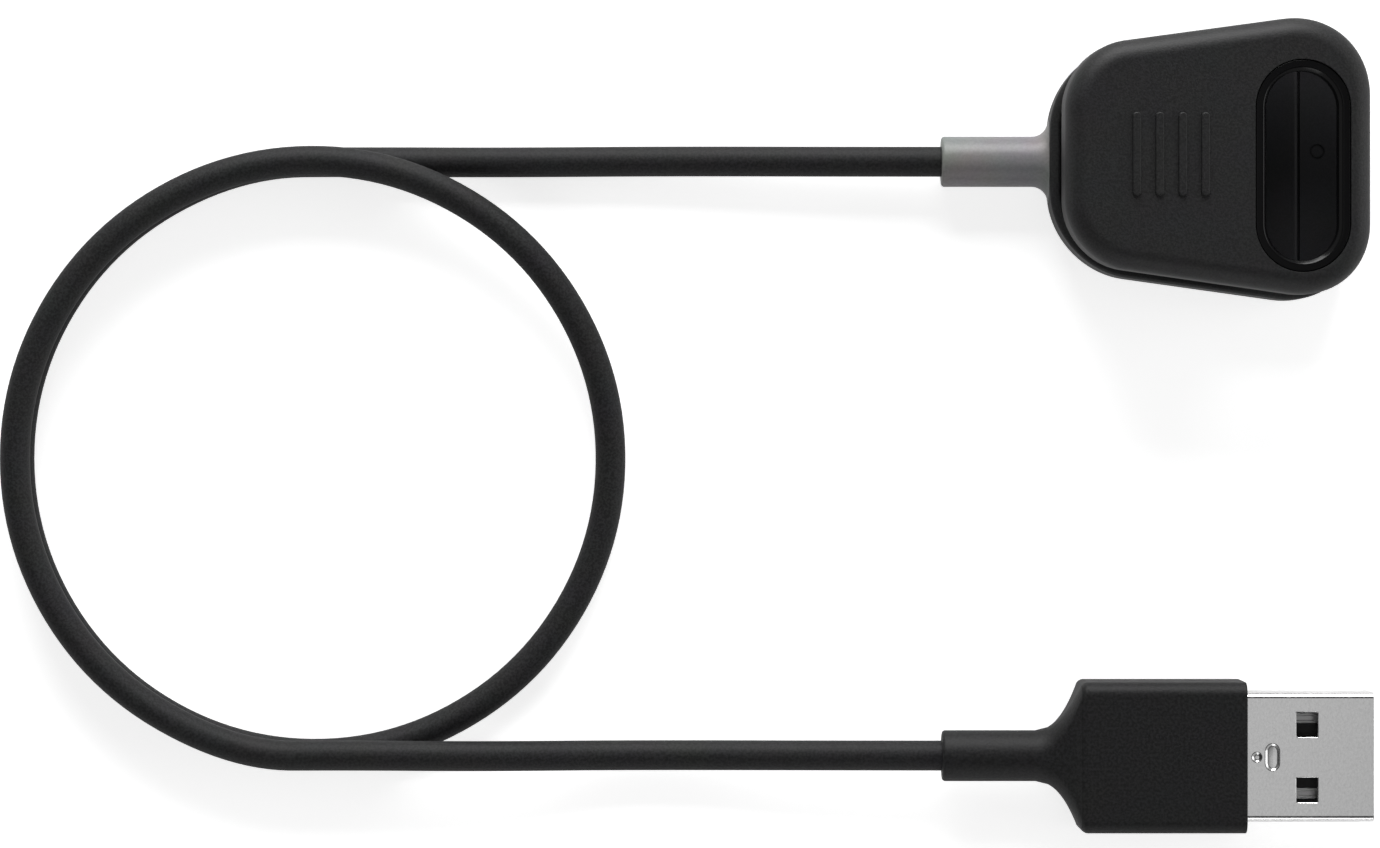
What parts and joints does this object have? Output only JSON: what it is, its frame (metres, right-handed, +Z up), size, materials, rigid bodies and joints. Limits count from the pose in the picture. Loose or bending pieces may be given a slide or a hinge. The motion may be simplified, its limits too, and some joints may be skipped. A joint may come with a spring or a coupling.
{
  "type": "clip charging cable",
  "caption": "Sprung clip with a see-through window and sprung contact pins, on a round cord laid in turns that ends in a USB-A plug.",
  "frame": {"origin": "middle of the clip's foot on the surface it lies on, the cord and plug left out", "axes": "+X from the clip's tail to its jaw and the way the plug points, +Z up from the surface, +Y to the left of +X"},
  "size_m": [0.1277, 0.0753, 0.0161],
  "materials": {
    "soft_touch_black": "fine matt grain, soft-touch",
    "gloss_black": "polished black",
    "satin_black": "satin moulded black",
    "brass": "turned",
    "gold": "gold plated",
    "spring_steel": "drawn wire",
    "contact_nickel": "nickel plated",
    "board": "solder mask",
    "core_insulation": "extruded",
    "relief_grey": "satin",
    "pin_steel": "ground",
    "cord_jacket": "matt, faintly speckled",
    "plug_grip": "fine spark-eroded grain",
    "inner_mould": "as moulded",
    "plug_steel": "nickel plated",
    "tongue_black": "as moulded"
  },
  "bodies": {
    "lower_arm": {"lower_arm_cover": "soft_touch_black", "lower_arm_frame": "satin_black", "contact_block": "satin_black", "contact_barrels": "brass", "contact_spring_right": "spring_steel", "contact_spring_middle": "spring_steel", "contact_spring_left": "spring_steel", "circuit_board": "board", "board_cores": "core_insulation", "strain_relief": "relief_grey", "hinge_pin": "pin_steel", "torsion_spring": "spring_steel", "cord": "cord_jacket", "plug_overmould": "plug_grip", "plug_inner_mould": "inner_mould", "plug_crimp": "pin_steel", "plug_cores": "core_insulation", "plug_shell": "plug_steel", "plug_insulator": "tongue_black", "plug_pins": "contact_nickel"},
    "upper_arm": {"upper_arm_cover": "soft_touch_black", "upper_arm_frame": "satin_black", "window_bezel": "gloss_black"},
    "contact_right": {"contact_plunger_right": "gold"},
    "contact_middle": {"contact_plunger_middle": "gold"},
    "contact_left": {"contact_plunger_left": "gold"}
  },
  "joints": [
    {"name": "jaw_hinge", "type": "hinge", "parent": "lower_arm", "child": "upper_arm", "pos_m": [-0.0025, 0, 0.0084], "axis": [0, -1, 0], "range_deg": [0, 28], "stiffness_Nm_per_rad": 0.06, "springref_deg": -20.05, "deforming": ["torsion_spring"]},
    {"name": "contact_right_travel", "type": "slide", "parent": "lower_arm", "child": "contact_right", "axis": [0, 0, -1], "range_m": [0, 0.0008], "stiffness_N_per_m": 400, "springref_m": -0.0006, "deforming": ["contact_spring_right"]},
    {"name": "contact_middle_travel", "type": "slide", "parent": "lower_arm", "child": "contact_middle", "axis": [0, 0, -1], "range_m": [0, 0.0008], "stiffness_N_per_m": 400, "springref_m": -0.0006, "deforming": ["contact_spring_middle"]},
    {"name": "contact_left_travel", "type": "slide", "parent": "lower_arm", "child": "contact_left", "axis": [0, 0, -1], "range_m": [0, 0.0008], "stiffness_N_per_m": 400, "springref_m": -0.0006, "deforming": ["contact_spring_left"]}
  ]
}
